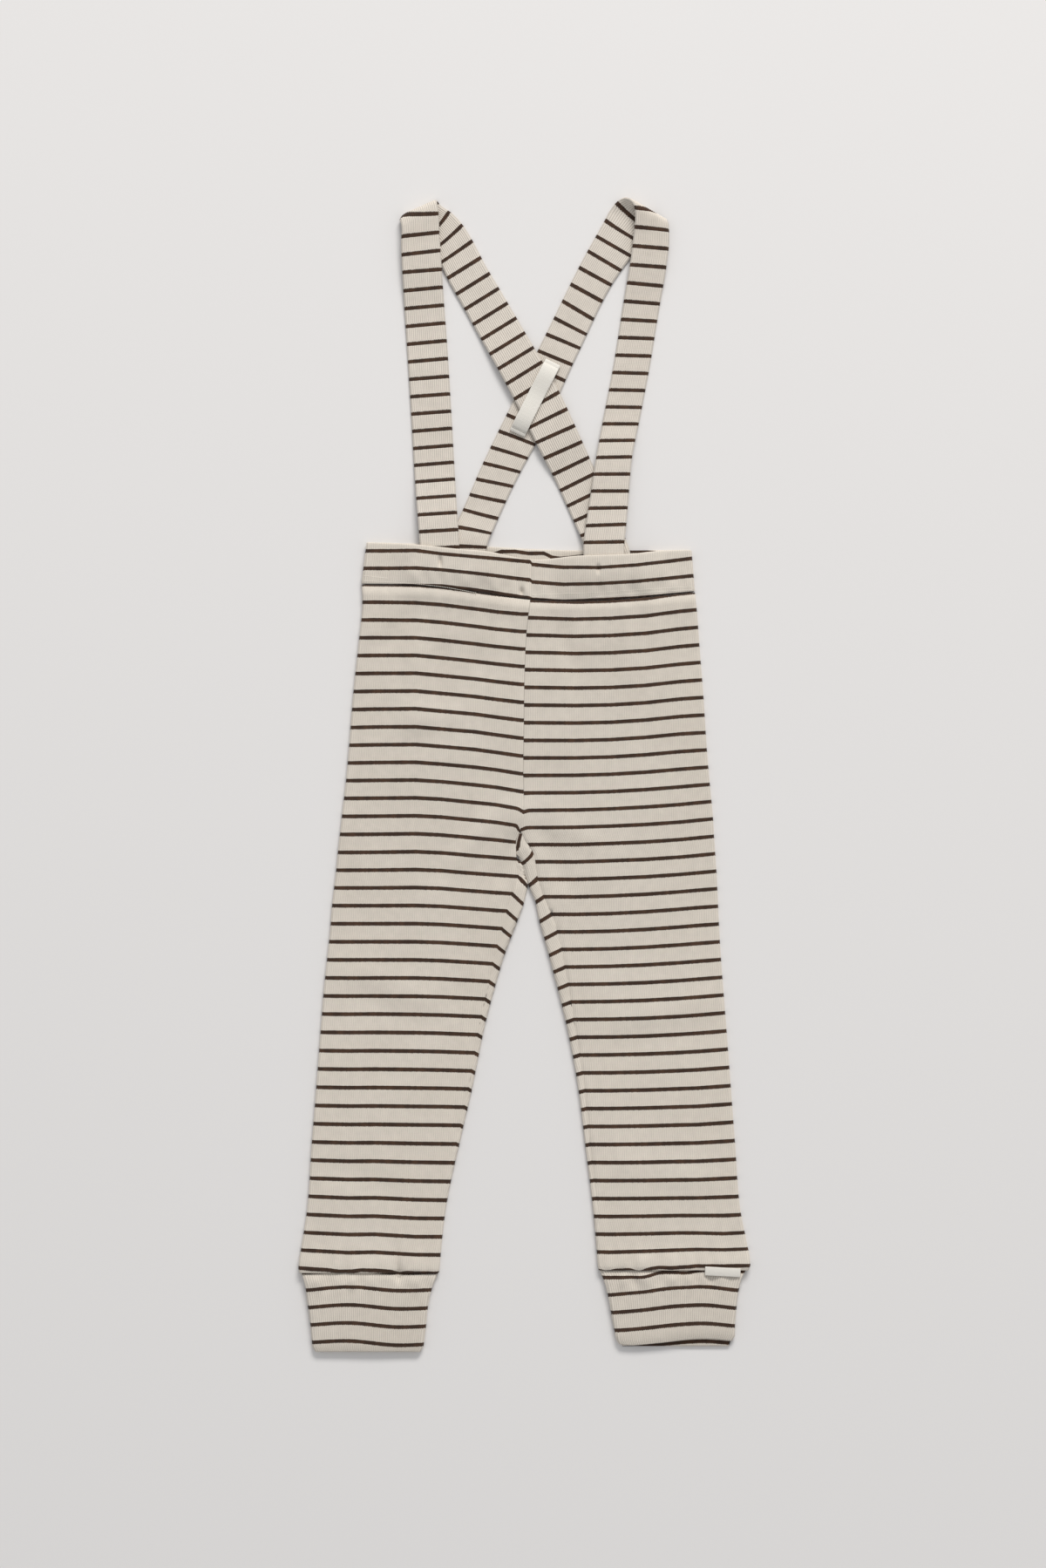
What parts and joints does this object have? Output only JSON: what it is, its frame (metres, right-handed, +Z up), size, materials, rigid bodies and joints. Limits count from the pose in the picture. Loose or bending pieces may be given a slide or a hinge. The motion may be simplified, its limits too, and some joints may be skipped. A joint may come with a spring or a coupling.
{
  "type": "suspender leggings",
  "caption": "Toddler's rib-knit leggings with a doubled waistband and cuffs and crossed shoulder straps held by a tape, laid flat on their back.",
  "frame": {"origin": "centre of the garment's outline on the surface that it lies on", "axes": "+Y from the cuffs towards the shoulder straps, +X to the right as seen from above, +Z up out of the garment's front"},
  "size_m": [0.2747, 0.7008, 0.0083],
  "materials": {
    "leg_rib": "fine vertical rib knit, oat cream with thin dark brown stripes across, matt",
    "band_rib": "doubled rib knit, oat cream with thin dark brown stripes across, matt",
    "strap_rib": "doubled rib knit strap, pale cream with thin dark brown stripes across, matt",
    "tape_weave": "off-white herringbone cotton tape, matt"
  },
  "bodies": {
    "root": {"leg_left": "leg_rib", "leg_right": "leg_rib", "waistband": "band_rib", "cuff_left": "band_rib", "cuff_right": "band_rib", "strap_left": "strap_rib", "strap_right": "strap_rib", "keeper_tape": "tape_weave", "label_tab": "tape_weave"}
  },
  "joints": []
}
